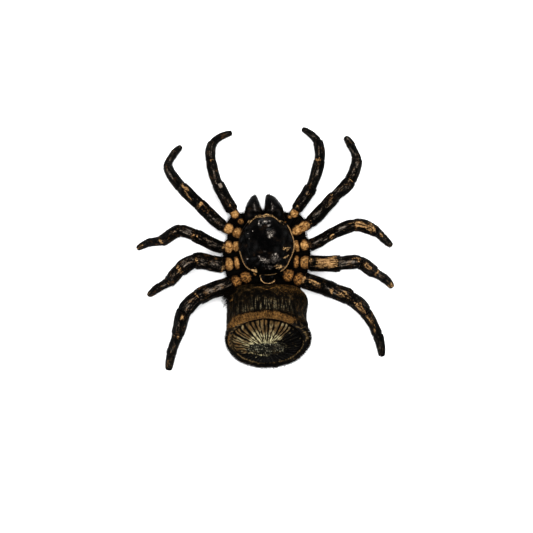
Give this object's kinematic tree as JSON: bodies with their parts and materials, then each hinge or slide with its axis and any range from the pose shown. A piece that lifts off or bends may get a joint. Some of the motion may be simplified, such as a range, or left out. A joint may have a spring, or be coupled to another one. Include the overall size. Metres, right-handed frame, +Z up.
{
  "type": "dried trapdoor spider specimen",
  "caption": "Dry spread spider specimen with a round glossy head shield, jointed limbs and a barrel abdomen that ends in a ribbed disc.",
  "frame": {"origin": "under the middle of the outline, on the surface it lies on", "axes": "+X to the specimen's right as seen from above with the head away, +Y towards the head, +Z up out of the back"},
  "size_m": [0.0568, 0.0538, 0.0146],
  "materials": {
    "cuticle_gloss": "polished black hard cuticle with a thin tan rim",
    "cuticle_black": "satin near-black cuticle with bald stripes and fine hairs",
    "cuticle_tan": "dry tan cuticle of the hips, darker towards the rear",
    "abdomen_skin": "wrinkled dark skin, felted rim band and a hard disc with radiating ribs"
  },
  "bodies": {
    "root": {"carapace": "cuticle_gloss", "chelicera_left": "cuticle_gloss", "chelicera_right": "cuticle_gloss", "fang_left": "cuticle_gloss", "fang_right": "cuticle_gloss", "pedicel": "cuticle_gloss", "sternum": "cuticle_black", "abdomen": "abdomen_skin", "spinneret_left": "abdomen_skin", "spinneret_right": "abdomen_skin", "palp_left_coxa": "cuticle_tan", "palp_left_femur": "cuticle_black", "palp_left_patella": "cuticle_black", "palp_left_tibia": "cuticle_black", "palp_left_tarsus": "cuticle_black", "palp_right_coxa": "cuticle_tan", "palp_right_femur": "cuticle_black", "palp_right_patella": "cuticle_black", "palp_right_tibia": "cuticle_black", "palp_right_tarsus": "cuticle_black", "leg_1_left_coxa": "cuticle_tan", "leg_1_left_femur": "cuticle_black", "leg_1_left_patella": "cuticle_black", "leg_1_left_tibia": "cuticle_black", "leg_1_left_foot": "cuticle_black", "leg_1_right_coxa": "cuticle_tan", "leg_1_right_femur": "cuticle_black", "leg_1_right_patella": "cuticle_black", "leg_1_right_tibia": "cuticle_black", "leg_1_right_foot": "cuticle_black", "leg_2_left_coxa": "cuticle_tan", "leg_2_left_femur": "cuticle_black", "leg_2_left_patella": "cuticle_black", "leg_2_left_tibia": "cuticle_black", "leg_2_left_foot": "cuticle_black", "leg_2_right_coxa": "cuticle_tan", "leg_2_right_femur": "cuticle_black", "leg_2_right_patella": "cuticle_black", "leg_2_right_tibia": "cuticle_black", "leg_2_right_foot": "cuticle_black", "leg_3_left_coxa": "cuticle_tan", "leg_3_left_femur": "cuticle_black", "leg_3_left_patella": "cuticle_black", "leg_3_left_tibia": "cuticle_black", "leg_3_left_foot": "cuticle_black", "leg_3_right_coxa": "cuticle_tan", "leg_3_right_femur": "cuticle_black", "leg_3_right_patella": "cuticle_black", "leg_3_right_tibia": "cuticle_black", "leg_3_right_foot": "cuticle_black", "leg_4_left_coxa": "cuticle_tan", "leg_4_left_femur": "cuticle_black", "leg_4_left_patella": "cuticle_black", "leg_4_left_tibia": "cuticle_black", "leg_4_left_foot": "cuticle_black", "leg_4_right_coxa": "cuticle_tan", "leg_4_right_femur": "cuticle_black", "leg_4_right_patella": "cuticle_black", "leg_4_right_tibia": "cuticle_black", "leg_4_right_foot": "cuticle_black"}
  },
  "joints": []
}
